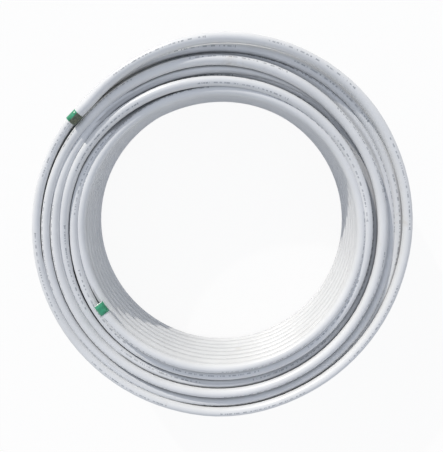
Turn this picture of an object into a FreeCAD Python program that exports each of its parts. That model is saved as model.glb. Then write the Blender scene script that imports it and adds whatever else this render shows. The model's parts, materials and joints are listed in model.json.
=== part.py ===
"""Coil of multilayer water pipe, lying flat, with a green tape band on each pipe end.

The pipe is wound in layers from the bore outwards, a row of turns above a row of turns.
Neighbouring layers stand half a turn apart, so every second layer stands proud of the
end faces. Frame: +Z up the coil's axis, origin on the floor under the middle of the bore.
Sizes are in millimetres, angles in degrees counted from +X towards +Y.
"""
import FreeCAD, Part

import math
import os

import Sketcher

SIZES = (
    ("pipe_diameter", 16.0, "outside diameter of the pipe"),
    ("pipe_wall", 2.0, "thickness of the pipe's wall"),
    ("bore_radius", 228.0, "radius of the coil's bore, at the crests of the innermost turns"),
    ("layer_count", 6, "layers of turns between the bore and the outside"),
    ("row_count", 8, "turns beside each other in one layer"),
    ("layer_nesting", 0.8, "how far each layer sinks between the turns of the one under it"),
    ("crest_flat", 0.15, "how far a turn is flattened where the coil stands on it or a hub bears"),
    ("side_valley", 5.0, "depth of the valleys between the rows, on the bore and the outside"),
    ("face_valley", 3.2, "depth of the valleys between the layers, on the end faces"),
    ("outer_end_inset", 13.5, "how far the outer pipe end leans inwards from the outermost layer"),
    ("outer_end_angle", 133.6, "where the outer pipe end becomes straight"),
    ("outer_end_run", 44.0, "length of the outer pipe end's straight run"),
    ("inner_end_inset", -0.95, "how far the inner pipe end leans inwards from the innermost layer"),
    ("inner_end_angle", 215.3, "where the inner pipe end becomes straight"),
    ("inner_end_run", 24.0, "length of the inner pipe end's straight run"),
    ("tape_width", 19.0, "width of the green tape on each pipe end"),
    ("tape_thickness", 0.65, "thickness of the wound tape"),
    ("tape_gap", 0.05, "glue line between the tape and the pipe"),
    ("seat_gap", 0.1, "air between a tape band and the turn that it lies on"),
)

FULL_TURN = 360.0
RISE_ANGLE = 90.0  # a pipe end climbs out of the coil over this much of a turn

doc = FreeCAD.newDocument("coil_of_pipe")
sheet = doc.addObject("Spreadsheet::Sheet", "Sizes")
for line, (alias, value, meaning) in enumerate(SIZES, start=1):
    sheet.set(f"A{line}", alias)
    sheet.set(f"B{line}", str(value))
    sheet.setAlias(f"B{line}", alias)
    sheet.set(f"C{line}", meaning)
doc.recompute()


def size(alias):
    """Read one driving size from the sheet."""
    return float(sheet.get(alias))


LAYERS = int(size("layer_count"))
ROWS = int(size("row_count"))
PIPE_RADIUS = size("pipe_diameter") / 2
LAYER_PITCH = size("pipe_diameter") - size("layer_nesting")


def turn_axis(layer, row):
    """Radius and height of a turn's own axis, in the coil's section."""
    radius = size("bore_radius") + PIPE_RADIUS - size("crest_flat") + layer * LAYER_PITCH
    height = PIPE_RADIUS - size("crest_flat") + (row + layer % 2 / 2) * size("pipe_diameter")
    return radius, height


def turn_axis_expressions(layer, row):
    """The same two values as expressions on the sheet."""
    radius = ("Sizes.bore_radius + Sizes.pipe_diameter / 2 - Sizes.crest_flat"
              f" + {layer} * (Sizes.pipe_diameter - Sizes.layer_nesting)")
    height = (f"Sizes.pipe_diameter / 2 - Sizes.crest_flat + {row + layer % 2 / 2}"
              " * Sizes.pipe_diameter")
    return radius, height


def origin_plane(body, role):
    """One of the body's own origin planes, such as XY_Plane."""
    return next(item for item in body.Origin.OriginFeatures if item.Role == role)


def new_body(label):
    """A PartDesign body whose label names its file."""
    body = doc.addObject("PartDesign::Body", label)
    body.Label = label
    return body


def new_sketch(body, name, role, offset=FreeCAD.Placement()):
    """A sketch on one of the body's origin planes, moved by an offset."""
    sketch = body.newObject("Sketcher::SketchObject", name)
    sketch.AttachmentSupport = (origin_plane(body, role), "")
    sketch.MapMode = "FlatFace"
    sketch.AttachmentOffset = offset
    return sketch


def bind(sketch, kind, expression, value, *where):
    """Add a dimension to a sketch and tie it to the sheet."""
    index = sketch.addConstraint(Sketcher.Constraint(kind, *where, value))
    sketch.setExpression(f"Constraints[{index}]", expression)


def circle(sketch, radius_expression, radius, centre_expression=None, centre=0.0):
    """A full circle on the sketch's horizontal axis, its radius and centre tied to the sheet."""
    shape = Part.Circle(FreeCAD.Vector(centre, 0, 0), FreeCAD.Vector(0, 0, 1), radius)
    index = sketch.addGeometry(shape, False)
    if centre_expression is None:
        sketch.addConstraint(Sketcher.Constraint("Coincident", index, 3, -1, 1))
    else:
        sketch.addConstraint(Sketcher.Constraint("PointOnObject", index, 3, -1))
        bind(sketch, "DistanceX", centre_expression, centre, -1, 1, index, 3)
    bind(sketch, "Radius", radius_expression, radius, index)


# --- the wound block: one turned section whose outline is the outermost turns ---

def boundary_turns():
    """The turns on the section's outline, counter-clockwise from the bore's lower edge."""
    base = [(layer, 0) for layer in range(LAYERS)]
    outside = [(LAYERS - 1, row) for row in range(1, ROWS)]
    top = [(layer, ROWS - 1) for layer in reversed(range(LAYERS - 1))]
    inside = [(0, row) for row in reversed(range(1, ROWS - 1))]
    return base + outside + top + inside


def valley_after(turn, following):
    """The floor between two neighbours on the outline: its direction, place and expression."""
    if turn[0] == following[0] == 0:
        place = size("bore_radius") - size("crest_flat") + size("side_valley")
        return "Vertical", place, "Sizes.bore_radius - Sizes.crest_flat + Sizes.side_valley"
    if turn[0] == following[0]:
        place = turn_axis(*turn)[0] + PIPE_RADIUS - size("side_valley")
        edge = turn_axis_expressions(*turn)[0]
        return "Vertical", place, f"{edge} + Sizes.pipe_diameter / 2 - Sizes.side_valley"
    if turn[1] == 0:
        place = PIPE_RADIUS - size("crest_flat") + size("face_valley")
        return "Horizontal", place, "Sizes.pipe_diameter / 2 - Sizes.crest_flat + Sizes.face_valley"
    place = ROWS * size("pipe_diameter") - size("crest_flat") - size("face_valley")
    expression = "Sizes.row_count * Sizes.pipe_diameter - Sizes.crest_flat - Sizes.face_valley"
    return "Horizontal", place, expression


def valley_edge(turn, other, direction, place):
    """Where a turn's outline meets the valley floor on the side of its neighbour."""
    radius, height = turn_axis(*turn)
    if direction == "Vertical":
        reach = math.sqrt(PIPE_RADIUS ** 2 - (place - radius) ** 2)
        side = 1 if turn_axis(*other)[1] > height else -1
        return FreeCAD.Vector(place, height + side * reach, 0)
    reach = math.sqrt(PIPE_RADIUS ** 2 - (place - height) ** 2)
    side = 1 if turn_axis(*other)[0] > radius else -1
    return FreeCAD.Vector(radius + side * reach, place, 0)


def turn_arc(turn, start, end):
    """The part of a turn's round outline that runs counter-clockwise from start to end."""
    centre = FreeCAD.Vector(*turn_axis(*turn), 0)
    first = math.atan2(start.y - centre.y, start.x - centre.x)
    last = math.atan2(end.y - centre.y, end.x - centre.x)
    if last < first:
        last += 2 * math.pi
    whole = Part.Circle(centre, FreeCAD.Vector(0, 0, 1), PIPE_RADIUS)
    return Part.ArcOfCircle(whole, first, last)


def draw_winding_section(sketch):
    """Round turns joined by short valley floors, every one of them tied to the sheet."""
    turns = boundary_turns()
    count = len(turns)
    valleys = [valley_after(turns[k], turns[(k + 1) % count]) for k in range(count)]
    ends = [valley_edge(turns[k], turns[(k + 1) % count], *valleys[k][:2]) for k in range(count)]
    starts = [valley_edge(turns[k], turns[k - 1], *valleys[k - 1][:2]) for k in range(count)]
    arcs = [turn_arc(turns[k], starts[k], ends[k]) for k in range(count)]
    floors = [Part.LineSegment(ends[k], starts[(k + 1) % count]) for k in range(count)]
    sketch.addGeometry(arcs + floors, False)
    joints = []
    for k in range(count):
        floor = count + k
        joints.append(Sketcher.Constraint("Coincident", k, 2, floor, 1))
        joints.append(Sketcher.Constraint("Coincident", floor, 2, (k + 1) % count, 1))
        joints.append(Sketcher.Constraint(valleys[k][0], floor))
    joints += [Sketcher.Constraint("Equal", 0, k) for k in range(1, count)]
    sketch.addConstraint(joints)
    bind(sketch, "Radius", "Sizes.pipe_diameter / 2", PIPE_RADIUS, 0)
    for k, turn in enumerate(turns):
        radius, height = turn_axis(*turn)
        radius_expression, height_expression = turn_axis_expressions(*turn)
        bind(sketch, "DistanceX", radius_expression, radius, -1, 1, k, 3)
        bind(sketch, "DistanceY", height_expression, height, -1, 1, k, 3)
        direction, place, expression = valleys[k]
        kind = "DistanceX" if direction == "Vertical" else "DistanceY"
        bind(sketch, kind, expression, place, -1, 1, count + k, 1)


def revolve(body, name, sketch, angle, reverse=False):
    """Turn a sketch about its own vertical axis."""
    feature = body.newObject("PartDesign::Revolution", name)
    feature.Profile = sketch
    feature.ReferenceAxis = (sketch, ["V_Axis"])
    feature.Angle = angle
    feature.Reversed = reverse
    return feature


def pad(body, name, sketch, length_expression, reverse):
    """Extrude a sketch by a length tied to the sheet."""
    feature = body.newObject("PartDesign::Pad", name)
    feature.Profile = sketch
    feature.setExpression("Length", length_expression)
    feature.Reversed = reverse
    return feature


def pocket(body, name, sketch, length_expression, reverse):
    """Cut a sketch to a depth tied to the sheet, and prove that it took material away."""
    doc.recompute()
    before = body.Shape.Volume
    feature = body.newObject("PartDesign::Pocket", name)
    feature.Profile = sketch
    feature.setExpression("Length", length_expression)
    feature.Reversed = reverse
    doc.recompute()
    if not body.Shape.Volume < before:
        raise RuntimeError(f"{name} removed nothing")
    return feature


def build_wound_block(body):
    """The turned block, flattened where it stands and where a hub bears in its bore."""
    section = new_sketch(body, "winding_section", "XZ_Plane")
    draw_winding_section(section)
    revolve(body, "winding", section, FULL_TURN)
    height = "Sizes.row_count * Sizes.pipe_diameter + Sizes.pipe_diameter"
    floor = new_sketch(body, "floor_outline", "XY_Plane")
    circle(floor, "Sizes.bore_radius + Sizes.layer_count * Sizes.pipe_diameter + Sizes.pipe_diameter",
           size("bore_radius") + (LAYERS + 1) * size("pipe_diameter"))
    pocket(body, "standing_flats", floor, "Sizes.pipe_diameter", reverse=False)
    bore = new_sketch(body, "bore_outline", "XY_Plane")
    circle(bore, "Sizes.bore_radius", size("bore_radius"))
    pocket(body, "hub_flats", bore, height, reverse=True)


# --- the two pipe ends: each climbs out of the block on a tilted circle, then runs straight ---

class PipeEnd:
    """Where one pipe end lies: a tilted circle about the coil's axis and its straight tangent.

    The circle's highest point is where the straight run starts, level with the floor. The
    circle starts a quarter turn away, inside the block, one row below the top of its layer.
    """

    def __init__(self, prefix, layer, onward):
        self.prefix = prefix
        self.onward = onward  # True where the straight run points counter-clockwise
        self.angle = size(f"{prefix}_angle")
        self.radius = turn_axis(layer, ROWS - 1)[0] - size(f"{prefix}_inset")
        self.run = size(f"{prefix}_run")
        self.buried_height = turn_axis(layer, ROWS - 2)[1]
        rise = self.seat_height() - self.buried_height
        self.tilt = math.degrees(math.atan2(rise, self.radius))
        self.circle_radius = math.hypot(rise, self.radius)

    def seat_height(self):
        """Height of the straight run's axis, with its tape lying on the turns under its tip."""
        spacing = size("pipe_diameter") + size("tape_gap") + size("tape_thickness") + size("seat_gap")
        tip_radius = math.hypot(self.radius, self.run)
        heights = []
        for layer in range(LAYERS):
            radius, height = turn_axis(layer, ROWS - 1)
            if abs(radius - tip_radius) < spacing:
                heights.append(height + math.sqrt(spacing ** 2 - (radius - tip_radius) ** 2))
        return max(heights)

    def plane(self, along=0.0):
        """The plane square to the straight run, a distance along it, origin on the circle's axis."""
        turned = FreeCAD.Rotation(self.angle, -self.tilt, 90)
        side = 1 if self.onward else -1
        forward = FreeCAD.Rotation(self.angle + side * 90, 0, 0).multVec(FreeCAD.Vector(along, 0, 0))
        return FreeCAD.Placement(FreeCAD.Vector(0, 0, self.buried_height) + forward, turned)


def end_circle(sketch, end, radius_expression, radius):
    """A circle about the pipe end's own axis."""
    circle(sketch, radius_expression, radius, f"{end.circle_radius} mm", end.circle_radius)


def build_pipe_end(body, end):
    """The climbing bend and the straight, open run of one pipe end."""
    bend = new_sketch(body, f"{end.prefix}_bend_section", "XY_Plane", end.plane())
    end_circle(bend, end, "Sizes.pipe_diameter / 2", PIPE_RADIUS)
    revolve(body, f"{end.prefix}_bend", bend, RISE_ANGLE, reverse=end.onward)
    ring = new_sketch(body, f"{end.prefix}_run_section", "XY_Plane", end.plane())
    end_circle(ring, end, "Sizes.pipe_diameter / 2", PIPE_RADIUS)
    end_circle(ring, end, "Sizes.pipe_diameter / 2 - Sizes.pipe_wall", PIPE_RADIUS - size("pipe_wall"))
    pad(body, f"{end.prefix}_straight_run", ring, f"Sizes.{end.prefix}_run", reverse=end.onward)


def build_tape(label, end):
    """A band of tape round the pipe, flush with its open end."""
    body = new_body(label)
    section = new_sketch(body, f"{label}_section", "XY_Plane", end.plane(end.run - size("tape_width")))
    inner = PIPE_RADIUS + size("tape_gap")
    end_circle(section, end, "Sizes.pipe_diameter / 2 + Sizes.tape_gap", inner)
    end_circle(section, end, "Sizes.pipe_diameter / 2 + Sizes.tape_gap + Sizes.tape_thickness",
               inner + size("tape_thickness"))
    pad(body, f"{label}_band", section, "Sizes.tape_width", reverse=end.onward)
    return body


outer_end = PipeEnd("outer_end", LAYERS - 1, onward=True)
inner_end = PipeEnd("inner_end", 0, onward=False)

coil = new_body("pipe_coil")
build_wound_block(coil)
build_pipe_end(coil, outer_end)
build_pipe_end(coil, inner_end)
subparts = [coil, build_tape("outer_end_tape", outer_end), build_tape("inner_end_tape", inner_end)]
doc.recompute()


def check_document():
    """Stop on any failed feature, and on any sub-part that isn't one valid solid."""
    for item in doc.Objects:
        if "Invalid" in item.State or "Error" in item.State:
            raise RuntimeError(f"{item.Label} failed: {item.State}")
    for body in subparts:
        if body.Shape.isNull() or not body.Shape.isValid() or len(body.Shape.Solids) != 1:
            raise RuntimeError(f"{body.Label} isn't one valid solid")


check_document()
os.makedirs("parts", exist_ok=True)
for body in subparts:
    body.Shape.exportStep(os.path.join("parts", f"{body.Label}.step"))
    box = body.Shape.BoundBox
    print(f"{body.Label}: {box.XLength:.2f} x {box.YLength:.2f} x {box.ZLength:.2f} mm,"
          f" from z {box.ZMin:.2f}, volume {body.Shape.Volume / 1000:.1f} cm3")
for end in (outer_end, inner_end):
    print(f"{end.prefix}: axis height {end.seat_height():.3f}, tilt {end.tilt:.3f},"
          f" circle radius {end.circle_radius:.3f}")
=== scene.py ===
"""The looks of a coil of white multilayer pipe: one wound pipe, two taped open ends, its light.

Everything is in metres in the coil's own frame: +Z up the coil's axis, floor at zero. Angles
are degrees counted from +X towards +Y, and go on counting from turn to turn.
"""

import json
import logging
import math
from dataclasses import dataclass, field
from enum import Enum
from typing import Any, Iterable

import bmesh
import bpy
import numpy as np
from mathutils import Euler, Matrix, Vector

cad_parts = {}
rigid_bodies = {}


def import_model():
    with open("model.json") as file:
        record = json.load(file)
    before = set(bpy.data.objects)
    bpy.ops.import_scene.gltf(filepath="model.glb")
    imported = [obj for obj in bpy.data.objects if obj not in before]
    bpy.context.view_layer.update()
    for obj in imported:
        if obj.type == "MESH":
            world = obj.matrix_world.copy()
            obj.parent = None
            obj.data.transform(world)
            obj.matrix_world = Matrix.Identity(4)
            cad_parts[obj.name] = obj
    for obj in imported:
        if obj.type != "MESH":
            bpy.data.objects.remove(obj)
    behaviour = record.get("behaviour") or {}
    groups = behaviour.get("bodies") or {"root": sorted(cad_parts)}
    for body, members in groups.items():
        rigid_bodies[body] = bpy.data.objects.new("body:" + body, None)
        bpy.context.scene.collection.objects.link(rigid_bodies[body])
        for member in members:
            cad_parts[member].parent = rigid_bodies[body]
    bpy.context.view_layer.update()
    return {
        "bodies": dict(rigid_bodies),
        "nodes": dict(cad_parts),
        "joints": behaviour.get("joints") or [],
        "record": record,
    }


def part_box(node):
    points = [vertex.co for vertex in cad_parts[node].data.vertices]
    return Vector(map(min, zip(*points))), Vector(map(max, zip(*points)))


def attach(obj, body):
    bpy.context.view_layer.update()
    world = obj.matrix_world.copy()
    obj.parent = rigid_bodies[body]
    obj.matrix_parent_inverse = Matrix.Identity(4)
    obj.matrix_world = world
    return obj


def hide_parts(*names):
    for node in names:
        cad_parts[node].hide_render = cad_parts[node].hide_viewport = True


LOG = logging.getLogger("coil")
MM = 0.001

# Degrees round the coil at which each pipe end's straight run starts.
OUTER_END_ANGLE = 133.6
INNER_END_ANGLE = 215.3
# The pipe's slow roll about its own axis: radians, over how many samples, and from where.
ROLLS = ((0.5, 140, 0.0), (0.35, 333, 1.0))


class WindUp(Enum):
    """Which way a layer of turns is laid along the coil's axis."""

    DOWN = -1
    UP = 1


def linear(hex_colour: str) -> tuple[float, float, float, float]:
    """Turn an sRGB hex colour into the linear colour that a shader takes.

    Args:
        hex_colour: six hex digits, red first.

    Returns:
        Linear red, green and blue with an alpha of 1.
    """
    channels = [int(hex_colour[i:i + 2], 16) / 255 for i in (0, 2, 4)]
    levels = [c / 12.92 if c <= 0.04045 else ((c + 0.055) / 1.055) ** 2.4 for c in channels]
    return levels[0], levels[1], levels[2], 1.0


def add_node(tree: bpy.types.NodeTree, kind: str, links: dict[str, Any] | None = None,
             values: dict[str, Any] | None = None, **settings: Any) -> bpy.types.Node:
    """Add one shader node with its settings, socket values and incoming links.

    Args:
        tree: the node tree to add to.
        kind: Blender's name of the node type.
        links: input socket name or number to the output socket that feeds it.
        values: input socket name or number to its constant value.
        settings: the node's own properties.

    Returns:
        The new node.
    """
    node = tree.nodes.new(kind)
    for name, value in settings.items():
        setattr(node, name, value)
    for socket, value in (values or {}).items():
        node.inputs[socket].default_value = value
    for socket, source in (links or {}).items():
        tree.links.new(source, node.inputs[socket])
    return node


def ramp(tree: bpy.types.NodeTree, source: Any, stops: Iterable[tuple[float, str]]) -> Any:
    """A colour ramp over a source value.

    Args:
        tree: the node tree to add to.
        source: the output socket that drives the ramp.
        stops: place and hex colour of each stop, in order.

    Returns:
        The ramp's colour output.
    """
    node = add_node(tree, "ShaderNodeValToRGB", {"Fac": source})
    stops = list(stops)
    elements = node.color_ramp.elements
    while len(elements) < len(stops):
        elements.new(0.5)
    for element, (place, colour) in zip(elements, stops):
        element.position = place
        element.color = linear(colour)
    return node.outputs["Color"]


def maths(tree: bpy.types.NodeTree, operation: str, first: Any, second: Any = 0.0) -> Any:
    """One sum on an output and an output or a number."""
    links, values = {0: first}, {}
    if isinstance(second, float):
        values[1] = second
    else:
        links[1] = second
    return add_node(tree, "ShaderNodeMath", links, values, operation=operation).outputs[0]


def new_material(name: str) -> tuple[bpy.types.Material, bpy.types.NodeTree, bpy.types.Node]:
    """An empty node material with its principled shader."""
    material = bpy.data.materials.new(name)
    material.use_nodes = True
    tree = material.node_tree
    return material, tree, tree.nodes["Principled BSDF"]


@dataclass(frozen=True)
class ExtrudedPolyethylene:
    """White polyethylene skin, extruded: smooth, softly glossy, with a faint ink line of ticks.

    The skin is drawn through a round die, so its faint streaks run along the pipe. It scuffs
    where turns rub, which shows as slight changes of gloss. Deep in the gaps between turns the
    skin is painted dark as shade. The pipe's own UV map is in metres: U along the pipe and V
    round it. Its attribute "gap" is 1 deep between turns and 0 in the open, and sets that
    painted shade.
    """

    name: str = "extruded_white_polyethylene"
    skin: str = "DFE0E0"
    skin_shade: str = "D8D9D9"
    ink: str = "666D75"
    grime: str = "B9AFA0"
    # painted shade: the dark colour laid into the gaps between turns, where shade falls
    gap: str = "2E2F31"
    roughness: float = 0.33
    ior: float = 1.51
    streak_spacing_mm: float = 2.5
    tick_spacing_mm: float = 250.0
    mark_pitch_mm: float = 6.5
    line_width_mm: float = 2.2

    def build(self, around: float) -> bpy.types.Material:
        """Build the skin's material.

        Args:
            around: the pipe's girth in metres, which is the UV map's extent in V.

        Returns:
            The finished material.
        """
        material, tree, shader = new_material(self.name)
        uv = add_node(tree, "ShaderNodeUVMap", uv_map="pipe").outputs["UV"]
        place = add_node(tree, "ShaderNodeTexCoord").outputs["Object"]
        cloud = add_node(tree, "ShaderNodeTexNoise", {"Vector": place},
                         {"Scale": 9.0, "Detail": 3.0, "Roughness": 0.6})
        base = ramp(tree, cloud.outputs["Fac"], ((0.35, self.skin_shade), (0.65, self.skin)))
        marked = self.printed(tree, uv, around, base)
        soiled = self.soiled(tree, place, marked)
        # Painted shade: deep in the gaps between turns the skin is mixed towards the dark gap colour.
        depth = add_node(tree, "ShaderNodeAttribute", attribute_name="gap").outputs["Fac"]
        gap_shade_amount = add_node(tree, "ShaderNodeMapRange", {"Value": depth},
                          {"From Min": 0.2, "From Max": 0.85, "To Max": 0.96})
        gap_shaded = add_node(tree, "ShaderNodeMix", {0: gap_shade_amount.outputs["Result"], 6: soiled},
                          {7: linear(self.gap)}, data_type="RGBA")
        tree.links.new(gap_shaded.outputs[2], shader.inputs["Base Color"])
        stretched = add_node(tree, "ShaderNodeMapping", {"Vector": uv},
                             {"Scale": (3.0, 1 / (self.streak_spacing_mm * MM), 1.0)})
        streaks = add_node(tree, "ShaderNodeTexNoise", {"Vector": stretched.outputs["Vector"]},
                           {"Scale": 1.0, "Detail": 2.0})
        rub = add_node(tree, "ShaderNodeTexNoise", {"Vector": place}, {"Scale": 60.0, "Detail": 4.0})
        gloss = add_node(tree, "ShaderNodeMapRange", {"Value": rub.outputs["Fac"]},
                         {"From Min": 0.3, "From Max": 0.7, "To Min": self.roughness - 0.05,
                          "To Max": self.roughness + 0.09})
        tree.links.new(gloss.outputs["Result"], shader.inputs["Roughness"])
        bump = add_node(tree, "ShaderNodeBump", {"Height": streaks.outputs["Fac"]},
                        {"Strength": 0.06, "Distance": 0.0004})
        tree.links.new(bump.outputs["Normal"], shader.inputs["Normal"])
        shader.inputs["IOR"].default_value = self.ior
        return material

    def printed(self, tree: bpy.types.NodeTree, uv: Any, around: float, base: Any) -> Any:
        """Lay the ink line over the skin: short dashes in groups, and a tick across at intervals.

        The dashes are plain bars, and say nothing. They are about as fine as stamped print.

        Args:
            tree: the node tree to add to.
            uv: the pipe's UV output, in metres.
            around: the pipe's girth in metres.
            base: the colour output under the ink.

        Returns:
            The colour output with the ink on it.
        """
        axes = add_node(tree, "ShaderNodeSeparateXYZ", {"Vector": uv})
        along, turn = axes.outputs["X"], axes.outputs["Y"]
        off_line = maths(tree, "ABSOLUTE", maths(tree, "SUBTRACT", turn, around * 0.53))
        on_line = maths(tree, "LESS_THAN", off_line, self.line_width_mm * MM / 2)
        on_tick = maths(tree, "LESS_THAN", off_line, self.line_width_mm * MM * 0.8)
        spread = add_node(tree, "ShaderNodeTexNoise", {"W": along},
                          {"Scale": 1 / (self.mark_pitch_mm * MM), "Detail": 1.0},
                          noise_dimensions="1D")
        dash = maths(tree, "GREATER_THAN", spread.outputs["Fac"], 0.5)
        group = self.repeat(tree, along, self.tick_spacing_mm, self.tick_spacing_mm * 0.62)
        tick = self.repeat(tree, along, self.tick_spacing_mm, 1.6)
        dashes = maths(tree, "MULTIPLY", maths(tree, "MULTIPLY", dash, group), on_line)
        ticks = maths(tree, "MULTIPLY", tick, on_tick)
        ink = maths(tree, "MAXIMUM", maths(tree, "MULTIPLY", dashes, 0.95), ticks)
        worn = add_node(tree, "ShaderNodeTexNoise", {"Vector": uv}, {"Scale": 35.0, "Detail": 2.0})
        faded = maths(tree, "MULTIPLY", ink, worn.outputs["Fac"])
        mix = add_node(tree, "ShaderNodeMix", {0: faded, 6: base}, {7: linear(self.ink)},
                       data_type="RGBA")
        return mix.outputs[2]

    def soiled(self, tree: bpy.types.NodeTree, place: Any, base: Any) -> Any:
        """Faint brownish handling smudges, a few centimetres across and far apart."""
        spots = add_node(tree, "ShaderNodeTexNoise", {"Vector": place},
                         {"Scale": 16.0, "Detail": 5.0, "Roughness": 0.7})
        amount = add_node(tree, "ShaderNodeMapRange", {"Value": spots.outputs["Fac"]},
                          {"From Min": 0.64, "From Max": 0.8, "To Max": 0.5})
        mix = add_node(tree, "ShaderNodeMix", {0: amount.outputs["Result"], 6: base},
                       {7: linear(self.grime)}, data_type="RGBA")
        return mix.outputs[2]

    def repeat(self, tree: bpy.types.NodeTree, along: Any, pitch_mm: float, length_mm: float) -> Any:
        """1 for the first length_mm of every pitch_mm along the pipe, else 0."""
        steps = maths(tree, "FRACT", maths(tree, "MULTIPLY", along, 1 / (pitch_mm * MM)))
        return maths(tree, "LESS_THAN", steps, length_mm / pitch_mm)


@dataclass(frozen=True)
class PlainPlastic:
    """A plain coloured layer of the pipe's cut wall, sawn: matt, slightly rough."""

    name: str
    colour: str
    shade: str
    roughness: float = 0.5
    metallic: float = 0.0

    def build(self) -> bpy.types.Material:
        """Build the layer's material."""
        material, tree, shader = new_material(self.name)
        place = add_node(tree, "ShaderNodeTexCoord").outputs["Object"]
        grain = add_node(tree, "ShaderNodeTexNoise", {"Vector": place}, {"Scale": 900.0, "Detail": 3.0})
        colour = ramp(tree, grain.outputs["Fac"], ((0.35, self.shade), (0.65, self.colour)))
        tree.links.new(colour, shader.inputs["Base Color"])
        bump = add_node(tree, "ShaderNodeBump", {"Height": grain.outputs["Fac"]},
                        {"Strength": 0.2, "Distance": 0.0002})
        tree.links.new(bump.outputs["Normal"], shader.inputs["Normal"])
        shader.inputs["Roughness"].default_value = self.roughness
        shader.inputs["Metallic"].default_value = self.metallic
        return material


@dataclass(frozen=True)
class AdhesiveTape:
    """Green PVC tape, calendered: semi-gloss, a little see-through, so overlaps show darker.

    Wound tape stretches into fine ripples across its width. Its own UV map runs round the band
    in U, from the top over the side that stays green to the side towards the bore, which is
    painted olive: painted shade of the side turned from the light, together with glue and dirt.
    """

    name: str = "green_pvc_tape"
    colour: str = "3FA078"
    deep: str = "2A7A58"
    # painted shade together with glue and dirt: the olive colours of the band's side towards the bore
    olive_shade_and_dirt: str = "6C6655"
    olive_shade_and_dirt_deep: str = "48463A"
    roughness: float = 0.3
    ripple_mm: float = 2.2

    def build(self) -> bpy.types.Material:
        """Build the tape's material."""
        material, tree, shader = new_material(self.name)
        place = add_node(tree, "ShaderNodeTexCoord").outputs["Object"]
        patches = add_node(tree, "ShaderNodeTexNoise", {"Vector": place}, {"Scale": 120.0, "Detail": 3.0})
        fresh = ramp(tree, patches.outputs["Fac"], ((0.3, self.deep), (0.62, self.colour)))
        grime = add_node(tree, "ShaderNodeTexNoise", {"Vector": place}, {"Scale": 420.0, "Detail": 2.0})
        olive_shade_and_dirt = ramp(tree, grime.outputs["Fac"], ((0.4, self.olive_shade_and_dirt_deep), (0.6, self.olive_shade_and_dirt)))
        # Painted shade, with glue and dirt: round the band, the side towards the bore is mixed to olive.
        turn = add_node(tree, "ShaderNodeUVMap", uv_map="tape").outputs["UV"]
        share = add_node(tree, "ShaderNodeSeparateXYZ", {"Vector": turn}).outputs["X"]
        soiled = add_node(tree, "ShaderNodeMapRange", {"Value": share},
                          {"From Min": 0.53, "From Max": 0.6, "To Max": 0.9})
        colour = add_node(tree, "ShaderNodeMix", {0: soiled.outputs["Result"], 6: fresh, 7: olive_shade_and_dirt},
                          data_type="RGBA").outputs[2]
        tree.links.new(colour, shader.inputs["Base Color"])
        ripples = add_node(tree, "ShaderNodeTexNoise", {"Vector": place},
                           {"Scale": 1 / (self.ripple_mm * MM), "Detail": 2.0})
        bump = add_node(tree, "ShaderNodeBump", {"Height": ripples.outputs["Fac"]},
                        {"Strength": 0.35, "Distance": 0.0004})
        tree.links.new(bump.outputs["Normal"], shader.inputs["Normal"])
        shader.inputs["Roughness"].default_value = self.roughness
        shader.inputs["IOR"].default_value = 1.53
        return material


@dataclass
class PipeEndPlace:
    """Where one straight, open pipe end lies, read from its tape band's CAD box.

    Args:
        node: the band's CAD node.
        angle: degrees at which the end's straight run starts.
        run: length of the straight run in metres.
        onward: True where the run points counter-clockwise.
    """

    node: str
    angle: float
    run: float
    onward: bool
    tape_width: float = 19 * MM
    middle: Vector = field(init=False)
    along: Vector = field(init=False)

    def __post_init__(self) -> None:
        """Find the band's middle and the pipe's direction at its tip."""
        low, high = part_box(self.node)
        self.middle = (low + high) / 2
        side = 90 if self.onward else -90
        turned = math.radians(self.angle + side)
        self.along = Vector((math.cos(turned), math.sin(turned), 0))

    @property
    def tip(self) -> Vector:
        """The middle of the pipe's open end."""
        return self.middle + self.along * self.tape_width / 2

    @property
    def start(self) -> Vector:
        """Where the pipe's straight run begins."""
        return self.tip - self.along * self.run


@dataclass(frozen=True)
class FacePassage:
    """Turns that lie on the coil's top face, where winding by hand lets them wander.

    Args:
        turn: whole turns of pipe that lie before the passage.
        stations: degrees within the passage, then radius and height in millimetres.
    """

    turn: int
    stations: tuple[tuple[float, float, float], ...]


BORE_RIM = FacePassage(0, (
    (225, 236, 138), (255, 234, 136.5), (270, 233, 135.5), (300, 233, 133), (345, 233, 129),
    (360, 233.5, 127), (385, 234, 125), (405, 234, 124), (450, 235, 121.5), (480, 235.5, 119.5),
    (510, 236, 118), (570, 236, 115.5)))
INNER_FACE = FacePassage(14, (
    (120, 244, 110), (150, 248, 116), (180, 248, 119), (225, 254, 122), (270, 252, 124),
    (300, 249, 125), (345, 245.5, 126), (360, 245, 126.5), (385, 246, 127), (405, 247, 127),
    (450, 249, 127.5), (480, 254, 127), (495, 258, 126), (510, 262, 125), (540, 264.5, 122),
    (585, 272, 119), (630, 271, 117), (660, 268, 115), (705, 262, 113), (720, 260, 112.5),
    (745, 260, 111), (840, 266, 108)))
MIDDLE_FACE = FacePassage(29, (
    (90, 269.5, 117), (120, 271, 119), (150, 276, 123), (180, 278, 125), (225, 284, 127.5),
    (270, 283.5, 128), (300, 278, 128), (345, 270, 128.5), (360, 268.5, 128.5), (385, 270, 128.5),
    (405, 272, 128.5), (450, 281, 129), (480, 283, 128), (495, 285, 127), (510, 288.5, 126),
    (540, 294, 124), (585, 303, 121), (630, 304.5, 119), (660, 299, 117), (705, 290, 115),
    (720, 287, 114), (745, 287, 113), (765, 288, 112), (810, 291, 110), (870, 296.5, 107)))
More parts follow.
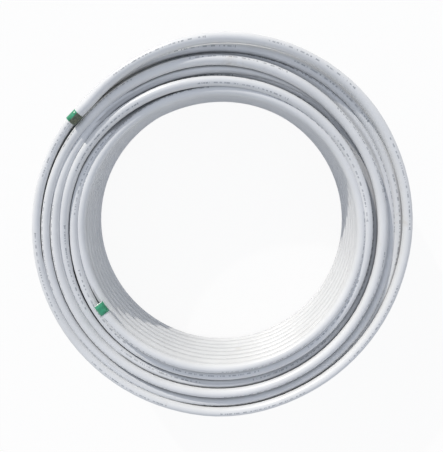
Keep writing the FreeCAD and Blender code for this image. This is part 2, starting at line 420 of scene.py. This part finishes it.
OUTER_FACE = FacePassage(43, (
    (180, 311, 106), (225, 316, 108), (270, 316, 110.5), (300, 311, 112), (345, 300, 115.5),
    (360, 298.5, 117), (385, 299, 118), (405, 302, 118.5), (450, 302.5, 119.5), (480, 304, 120),
    (510, 307, 121.5), (540, 310, 123), (585, 316.5, 125.5), (615, 319, 127), (630, 319, 128),
    (660, 311.5, 129.5), (705, 306, 131.5), (720, 307.5, 132.5), (745, 310, 134),
    (765, 313.5, 135.5), (810, 312.5, 138.5), (840, 303.5, 140.8)))


@dataclass
class Winding:
    """The route of the pipe's own axis through the whole coil, from its inner end to its outer.

    The pipe is wound in layers from the bore outwards, down one layer and up the next. Turns
    inside the coil are even helices. Those on its top face follow passages of their own, and
    everything between stations is blended smoothly.

    Args:
        pipe: the pipe's outside diameter in metres.
        first_radius: radius of the innermost layer's turns.
        low: height of the lowest turn of a layer that starts on the floor.
        outer_end: the open end outside.
        inner_end: the open end at the bore.
    """

    pipe: float
    first_radius: float
    low: float
    outer_end: PipeEndPlace
    inner_end: PipeEndPlace
    layer_pitch: float = 15.2 * MM
    samples_per_turn: int = 96
    stations: list[tuple[float, float, float]] = field(default_factory=list)

    def cross(self, passage: FacePassage) -> None:
        """Lay the turns of one passage over the top face."""
        for angle, radius, height in passage.stations:
            self.stations.append((passage.turn * 360 + angle, radius, height))

    def helix(self, layer: int, start: float, end: float, way: WindUp) -> None:
        """Lay the hidden turns of one layer, one pipe's width up or down at each turn.

        Args:
            layer: which layer, counted from the bore, the innermost being 0.
            start: angle at which they start, in degrees along the whole winding.
            end: angle at which they end.
            way: up from the floor at the start, or down to the floor at the end.
        """
        radius = (self.first_radius + layer * self.layer_pitch) / MM
        floor_angle = start if way is WindUp.UP else end
        lift = self.pipe / MM / 2 if way is WindUp.UP else 0.0
        for angle in np.linspace(start, end, round((end - start) / 60) + 1):
            rise = abs(angle - floor_angle) / 360 * self.pipe
            self.stations.append((float(angle), radius, (self.low + rise) / MM + lift))

    def plan(self) -> None:
        """Lay all six layers and the face passages between them."""
        inner, outer = self.inner_end, self.outer_end
        self.stations = [(inner.angle, inner.start.to_2d().length / MM, inner.start.z / MM)]
        self.cross(BORE_RIM)
        self.helix(0, 660, 2992, WindUp.DOWN)
        self.helix(1, 3042, 5060, WindUp.UP)
        self.cross(INNER_FACE)
        self.helix(2, 5980, 8134, WindUp.DOWN)
        self.helix(3, 8255, 10400, WindUp.UP)
        self.cross(MIDDLE_FACE)
        self.helix(4, 11400, 13541, WindUp.DOWN)
        self.helix(5, 13632, 15540, WindUp.UP)
        self.cross(OUTER_FACE)
        self.stations.append((outer.angle + 45 * 360, outer.start.to_2d().length / MM,
                              outer.start.z / MM))

    def points(self) -> np.ndarray:
        """Points of the pipe's axis from tip to tip, in metres.

        Returns:
            An array with a row for each point.
        """
        self.plan()
        table = np.array(self.stations)
        angles = table[:, 0]
        count = int((angles[-1] - angles[0]) / 360 * self.samples_per_turn)
        at = np.linspace(angles[0], angles[-1], count)
        radius = smooth_curve(angles, table[:, 1], at) * MM
        height = np.maximum(smooth_curve(angles, table[:, 2], at) * MM, self.low)
        turn = np.radians(at)
        body = np.stack([radius * np.cos(turn), radius * np.sin(turn), height], axis=1)
        inner = np.array(self.inner_end.tip)
        outer = np.array(self.outer_end.tip)
        steps_in = np.linspace(0, 1, 5)[:-1, None]
        steps_out = np.linspace(0, 1, 8)[1:, None]
        lead = inner + steps_in * (body[0] - inner)
        tail = body[-1] + steps_out * (outer - body[-1])
        return np.concatenate([lead, body, tail])


def smooth_curve(x: np.ndarray, y: np.ndarray, at: np.ndarray) -> np.ndarray:
    """A cubic through the stations that never overshoots them by a swing.

    Args:
        x: the stations' places, rising.
        y: their values.
        at: where to read the curve.

    Returns:
        The curve's values.
    """
    gap = np.diff(x)
    slope = np.diff(y) / gap
    tangent = np.concatenate([[slope[0]], (slope[1:] + slope[:-1]) / 2, [slope[-1]]])
    k = np.clip(np.searchsorted(x, at) - 1, 0, len(x) - 2)
    s = (at - x[k]) / gap[k]
    here = (2 * s ** 3 - 3 * s ** 2 + 1) * y[k] + (s ** 3 - 2 * s ** 2 + s) * gap[k] * tangent[k]
    there = (3 * s ** 2 - 2 * s ** 3) * y[k + 1] + (s ** 3 - s ** 2) * gap[k] * tangent[k + 1]
    return here + there


@dataclass
class WoundPipe:
    """The one long pipe: its skin swept along the winding, and its two cut, open ends.

    Args:
        winding: the route of its axis.
        radius: outside radius in metres.
        bore: inside radius in metres.
        sides: points round the skin.
        bore_depth: how deep each open end goes, in metres.
        edge: rounding of the cut wall's corners in metres.
        foil_inside: where the foil starts in the wall, as a share of it from the bore.
        foil_outside: where the foil ends.
        gap_reach: how far off another turn still adds painted shade to a gap, in radii past touching.
        gap_overhang: how far under a point a turn may lie and still count, in radii.
        stack_band: how far over or under a point a stacked turn starts to count, in radii.
        stack_start: nearness of stacked turns at which the painted shade line between them starts.
        stack_gain: how fast that painted shade line darkens.
    """

    winding: Winding
    radius: float = 8 * MM
    bore: float = 6 * MM
    sides: int = 18
    bore_depth: float = 22 * MM
    edge: float = 0.35 * MM
    foil_inside: float = 0.42
    foil_outside: float = 0.62
    gap_reach: float = 1.6
    gap_overhang: float = 0.35
    stack_band: float = 0.2
    stack_start: float = 0.55
    stack_gain: float = 1.5

    def build(self) -> bpy.types.Object:
        """Make the pipe's mesh and dress it.

        Returns:
            The finished piece.
        """
        axis = self.winding.points()
        frames = self.frames(axis)
        mesh = bpy.data.meshes.new("wound_pipe")
        shape = bmesh.new()
        uv = shape.loops.layers.uv.new("pipe")
        gap = shape.verts.layers.float.new("gap")
        travelled = np.concatenate([[0], np.cumsum(np.linalg.norm(np.diff(axis, axis=0), axis=1))])
        rings = [self.ring(shape, axis[k], *frames[k], self.radius) for k in range(1, len(axis) - 1)]
        # Painted shade: each point's gap depth goes into the "gap" attribute, which darkens the skin deep
        # between turns.
        for k, ring in enumerate(rings):
            for vert, depth in zip(ring, self.gap_depth(axis, k + 1, ring)):
                vert[gap] = depth
        girth = 2 * math.pi * self.radius
        for k in range(len(rings) - 1):
            self.skin(shape, uv, rings[k], rings[k + 1], travelled[k + 1], travelled[k + 2], girth)
        self.open_end(shape, uv, rings[0], axis[0], frames[0], axis[1] - axis[0], False)
        self.open_end(shape, uv, rings[-1], axis[-1], frames[-1], axis[-1] - axis[-2], True)
        shape.to_mesh(mesh)
        shape.free()
        piece = bpy.data.objects.new("wound_pipe", mesh)
        bpy.context.scene.collection.objects.link(piece)
        self.dress(piece)
        LOG.info("pipe of %.1f m in %.1f turns", travelled[-1], len(axis) / self.winding.samples_per_turn)
        return piece

    @staticmethod
    def frames(axis: np.ndarray) -> list[tuple[np.ndarray, np.ndarray]]:
        """Two directions square to the pipe at each point: up, and away from its bend.

        The pair rolls slowly along the pipe, as pipe does when it is wound.
        """
        along = np.gradient(axis, axis=0)
        along /= np.linalg.norm(along, axis=1)[:, None]
        pairs = []
        for k, direction in enumerate(along):
            up = np.array([0.0, 0.0, 1.0]) - direction * direction[2]
            up /= np.linalg.norm(up)
            out = np.cross(direction, up)
            roll = sum(reach * math.sin(k / length + start) for reach, length, start in ROLLS)
            pairs.append((up * math.cos(roll) + out * math.sin(roll),
                          out * math.cos(roll) - up * math.sin(roll)))
        return pairs

    def ring(self, shape: bmesh.types.BMesh, centre: np.ndarray, up: np.ndarray, out: np.ndarray,
             radius: float) -> list[bmesh.types.BMVert]:
        """One round of points about the pipe's axis, starting at the underside."""
        turns = [2 * math.pi * k / self.sides for k in range(self.sides)]
        return [shape.verts.new(centre - radius * (math.cos(t) * up + math.sin(t) * out)) for t in turns]

    def gap_depth(self, axis: np.ndarray, k: int, ring: list) -> np.ndarray:
        """How deep each point of one round lies in a gap between turns.

        A point is in a gap where pipe lies on both sides of it, towards the bore and away from
        it, at its own height or higher. It is in a shallower one where pipe lies close over and
        under it.

        Args:
            axis: all points of the pipe's axis.
            k: which of them the round belongs to.
            ring: the round's points.

        Returns:
            A number for each point, 0 in the open and 1 where two turns touch.
        """
        turns = axis[k % self.winding.samples_per_turn::self.winding.samples_per_turn]
        points = np.array([vert.co for vert in ring])
        sideways = np.hypot(turns[:, 0], turns[:, 1]) - np.hypot(points[:, 0], points[:, 1])[:, None]
        rise = turns[:, 2] - points[:, 2][:, None]
        near = 1 - (np.hypot(sideways, rise) / self.radius - 1) / self.gap_reach
        over = np.where(rise > self.stack_band * self.radius, near, 0).max(axis=1)
        under = np.where(rise < -self.stack_band * self.radius, near, 0).max(axis=1)
        stacked = (np.minimum(over, under) - self.stack_start) * self.stack_gain
        near = np.where(rise > -self.gap_overhang * self.radius, near, 0)
        inward = np.where(sideways < 0, near, 0).max(axis=1)
        outward = np.where(sideways > 0, near, 0).max(axis=1)
        return np.clip(np.maximum(np.minimum(inward, outward), stacked), 0, 1)

    def skin(self, shape: bmesh.types.BMesh, uv: Any, back: list, front: list, start: float,
             end: float, girth: float) -> None:
        """One band of faces between two rounds of points, with its place along and round the pipe."""
        for k in range(self.sides):
            following = (k + 1) % self.sides
            face = shape.faces.new((back[k], back[following], front[following], front[k]))
            face.smooth = True
            low, high = girth * k / self.sides, girth * (k + 1) / self.sides
            places = ((start, low), (start, high), (end, high), (end, low))
            for loop, place in zip(face.loops, places):
                loop[uv].uv = place

    def open_end(self, shape: bmesh.types.BMesh, uv: Any, last: list, tip: np.ndarray, frame: tuple,
                 away: np.ndarray, forward: bool) -> None:
        """Close one end of the skin with a rounded rim, the cut wall's layers and the bore.

        Args:
            shape: the mesh being built.
            uv: its UV layer; not used.
            last: the skin's last round of points.
            tip: middle of the cut face.
            frame: the two directions square to the pipe.
            away: any vector along the pipe, from its start to its end.
            forward: True at the pipe's far end.
        """
        out = away / np.linalg.norm(away) * (1 if forward else -1)
        wall = self.radius - self.bore
        steps = ((-self.edge, self.radius, 0), (0.0, self.radius - self.edge, 0),
                 (0.0, self.bore + wall * self.foil_outside, 1),
                 (0.0, self.bore + wall * self.foil_inside, 2),
                 (0.0, self.bore + self.edge, 1), (-self.edge, self.bore, 1),
                 (-self.bore_depth, self.bore, 3))
        back = last
        for place, radius, slot in steps:
            front = self.ring(shape, tip + out * place, *frame, radius)
            self.band(shape, back, front, slot, forward)
            back = front
        face = shape.faces.new(back if forward else list(reversed(back)))
        face.material_index = 3

    def band(self, shape: bmesh.types.BMesh, back: list, front: list, slot: int, forward: bool) -> None:
        """One band of faces of an end's cut wall."""
        for k in range(self.sides):
            following = (k + 1) % self.sides
            corners = (back[k], back[following], front[following], front[k])
            face = shape.faces.new(corners if forward else tuple(reversed(corners)))
            face.material_index = slot
            face.smooth = slot in (0, 3)

    def dress(self, piece: bpy.types.Object) -> None:
        """Give the pipe its skin, its cut wall's layers and its bore."""
        finishes = (ExtrudedPolyethylene().build(2 * math.pi * self.radius),
                    PlainPlastic("sawn_white_polyethylene", "E4E6E4", "D6D9D8").build(),
                    PlainPlastic("sawn_aluminium_foil", "C9CDD0", "AEB4B8", 0.35, 1.0).build(),
                    PlainPlastic("natural_polyethylene_bore", "D9DBD6", "CACDC9").build())
        for finish in finishes:
            piece.data.materials.append(finish)


@dataclass
class TapeBand:
    """One wound band of green tape, with its free end showing as a step along the pipe.

    Args:
        name: the piece's name.
        place: the pipe end that it goes round.
        soiled: True where the side towards the bore is painted olive, as painted shade together with glue
            and dirt.
    """

    name: str
    place: PipeEndPlace
    soiled: bool
    inside: float = 8.05 * MM
    thickness: float = 0.65 * MM
    layer: float = 0.16 * MM
    sides: int = 96
    lap: float = 0.2
    edge: float = 0.12 * MM

    def build(self, finish: bpy.types.Material) -> bpy.types.Object:
        """Make the band's mesh.

        Args:
            finish: the tape's material.

        Returns:
            The finished piece.
        """
        shape = bmesh.new()
        along = self.place.along
        up = Vector((0, 0, 1))
        out = along.cross(up)
        half = self.place.tape_width / 2
        profile = ((-half + self.edge, 0.0), (-half, 0.35), (-half, 0.75), (-half + self.edge, 1.0),
                   (-half * 0.33, 1.0), (half * 0.33, 1.0),
                   (half - self.edge, 1.0), (half, 0.75), (half, 0.35), (half - self.edge, 0.0))
        rounds = []
        for k in range(self.sides):
            turn = 2 * math.pi * k / self.sides
            depth = self.thickness - self.layer * (0 if k / self.sides < self.lap else 1) * 0.9
            spoke = up * math.cos(turn) + out * math.sin(turn)
            skew = 0.25 * MM * math.sin(turn * 2 + 0.6)
            rounds.append([
                shape.verts.new(self.place.middle + along * (shift + skew * abs(shift) / half * 0.5)
                                + spoke * (self.inside + depth * share))
                for shift, share in profile])
        count = len(profile)
        uv = shape.loops.layers.uv.new("tape")
        for k in range(self.sides):
            here, there = rounds[k], rounds[(k + 1) % self.sides]
            for j in range(count):
                following = (j + 1) % count
                face = shape.faces.new((here[j], there[j], there[following], here[following]))
                face.smooth = True
                places = ((k, j), (k + 1, j), (k + 1, j + 1), (k, j + 1))
                for loop, (around, across) in zip(face.loops, places):
                    loop[uv].uv = around / self.sides * self.soiled, across / count
        bmesh.ops.recalc_face_normals(shape, faces=shape.faces)
        mesh = bpy.data.meshes.new(self.name)
        shape.to_mesh(mesh)
        shape.free()
        piece = bpy.data.objects.new(self.name, mesh)
        bpy.context.scene.collection.objects.link(piece)
        piece.data.materials.append(finish)
        return piece


@dataclass
class Studio:
    """The pale floor, the light and the camera that looks down on the coil."""

    sun_strength: float = 2.4
    sun_heading: float = 301.0
    sun_height: float = 22.0
    zenith: str = "BCC3D2"
    horizon: str = "D9D7D0"
    sky_strength: float = 1.12
    camera_place: tuple[float, float, float] = (0.0130, 0.1515, 0.9251)
    camera_tip: float = -9.644
    camera_pan: float = 0.829
    lens_mm: float = 38.73
    sensor_mm: float = 36.0

    def build(self) -> None:
        """Set the scene round the coil."""
        self.floor()
        self.light()
        self.camera()
        bpy.context.scene.view_settings.view_transform = "Standard"

    def floor(self) -> None:
        """A pale floor that shows white to the camera and still takes the coil's soft shadow."""
        bpy.ops.object.select_all(action="DESELECT")
        bpy.ops.mesh.primitive_plane_add(size=12.0, location=(0, 0, 0))
        floor = bpy.context.active_object
        floor.name = "studio_floor"
        material, tree, shader = new_material("white_paper_floor")
        shader.inputs["Base Color"].default_value = linear("E8E8E8")
        shader.inputs["Roughness"].default_value = 0.9
        path = add_node(tree, "ShaderNodeLightPath")
        glow = add_node(tree, "ShaderNodeEmission", values={"Color": (1, 1, 1, 1), "Strength": 1.0})
        seen = maths(tree, "MULTIPLY", path.outputs["Is Camera Ray"], 0.93)
        mix = add_node(tree, "ShaderNodeMixShader", {0: seen, 1: shader.outputs[0], 2: glow.outputs[0]})
        tree.links.new(mix.outputs[0], tree.nodes["Material Output"].inputs["Surface"])
        floor.data.materials.append(material)

    def light(self) -> None:
        """A low sun from the upper left and a pale sky all round, which is white to the camera."""
        sun = bpy.data.lights.new("low_sun", "SUN")
        sun.energy = self.sun_strength
        sun.angle = math.radians(1.2)
        sun.color = linear("FFFAF3")[:3]
        lamp = bpy.data.objects.new("low_sun", sun)
        heading, height = math.radians(self.sun_heading), math.radians(self.sun_height)
        travel = Vector((math.cos(heading) * math.cos(height), math.sin(heading) * math.cos(height),
                         -math.sin(height)))
        lamp.rotation_euler = travel.to_track_quat("-Z", "Y").to_euler()
        bpy.context.scene.collection.objects.link(lamp)
        world = bpy.data.worlds.new("sky")
        bpy.context.scene.world = world
        world.use_nodes = True
        tree = world.node_tree
        background = tree.nodes["Background"]
        toward = add_node(tree, "ShaderNodeTexCoord").outputs["Generated"]
        rise = add_node(tree, "ShaderNodeSeparateXYZ", {"Vector": toward}).outputs["Z"]
        sky = ramp(tree, rise, ((0.05, self.horizon), (0.75, self.zenith)))
        seen = add_node(tree, "ShaderNodeLightPath").outputs["Is Camera Ray"]
        shown = add_node(tree, "ShaderNodeMix", {0: seen, 6: sky}, {7: linear("F4F4F4")},
                         data_type="RGBA")
        tree.links.new(shown.outputs[2], background.inputs["Color"])
        background.inputs["Strength"].default_value = self.sky_strength

    def camera(self) -> None:
        """A camera above the coil, a little towards +Y, tipped back to the middle of the bore."""
        data = bpy.data.cameras.new("camera")
        data.lens = self.lens_mm
        data.sensor_width = self.sensor_mm
        camera = bpy.data.objects.new("camera", data)
        camera.location = self.camera_place
        turned = (math.radians(self.camera_tip), math.radians(self.camera_pan), 0)
        camera.rotation_euler = Euler(turned, "XYZ")
        bpy.context.scene.collection.objects.link(camera)
        bpy.context.scene.camera = camera


def seat(piece: bpy.types.Object, node: str) -> None:
    """Hang one piece on the frame: it rides on the root and stands for its CAD node."""
    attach(piece, "root")
    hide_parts(node)
    LOG.info("%s: %d faces, stands for %s", piece.name, len(piece.data.polygons), node)


def main() -> None:
    """Build the coil piece by piece, then its surroundings."""
    logging.basicConfig(level=logging.INFO, format="%(name)s: %(message)s")
    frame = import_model()
    pipe_radius = 8 * MM
    crest_flat = 0.15 * MM
    dims = {mount["name"]: mount["dims"] for mount in frame["record"]["mounts"]}
    bore_radius = dims["coil_bore"]["r_mm"] * MM
    outer_run = dims["outer_end_bore"]["length_mm"] * MM
    inner_run = dims["inner_end_bore"]["length_mm"] * MM
    outer = PipeEndPlace("outer_end_tape", OUTER_END_ANGLE, outer_run, onward=True)
    inner = PipeEndPlace("inner_end_tape", INNER_END_ANGLE, inner_run, onward=False)
    first_turn = pipe_radius - crest_flat
    winding = Winding(2 * pipe_radius, bore_radius + first_turn, first_turn, outer, inner)
    seat(WoundPipe(winding).build(), "pipe_coil")
    tape = AdhesiveTape().build()
    # The outer band's side towards the bore gets the olive painted shade, with glue and dirt.
    for name, place, soiled in (("outer_tape_band", outer, True), ("inner_tape_band", inner, False)):
        seat(TapeBand(name, place, soiled).build(tape), place.node)
    Studio().build()


if __name__ == "__main__":
    main()
